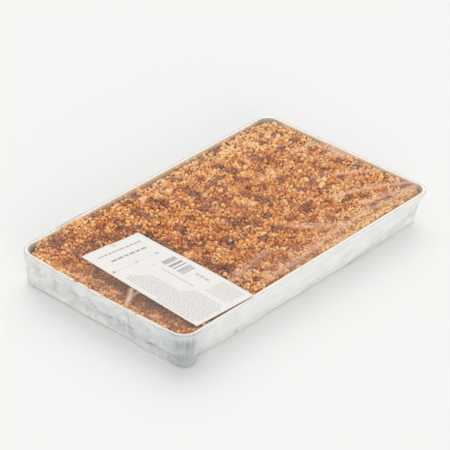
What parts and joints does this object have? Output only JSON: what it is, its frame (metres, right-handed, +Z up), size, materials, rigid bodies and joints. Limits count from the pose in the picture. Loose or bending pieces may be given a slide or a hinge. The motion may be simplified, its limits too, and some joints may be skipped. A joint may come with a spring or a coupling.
{
  "type": "honey nut traybake in a foil tray",
  "caption": "Shallow rounded rectangular traybake with a chopped nut top, baked in a foil tray, wrapped in clear film with a paper label lying across one end.",
  "frame": {"origin": "middle of the pack's footprint, on the surface it lies on", "axes": "+X along the length towards the end without the label, +Y across the width away from the label's near edge, +Z up out of the baked top"},
  "size_m": [0.3265, 0.202, 0.0353],
  "materials": {
    "foil": "bright rolled foil, pressed and crimped",
    "crust": "baked crust of chopped nuts in honey caramel",
    "film": "clear glossy wrapping film",
    "label_paper": null
  },
  "bodies": {
    "root": {"foil_tray": "foil", "traybake": "crust", "film_wrap": "film", "label": "label_paper"}
  },
  "joints": []
}
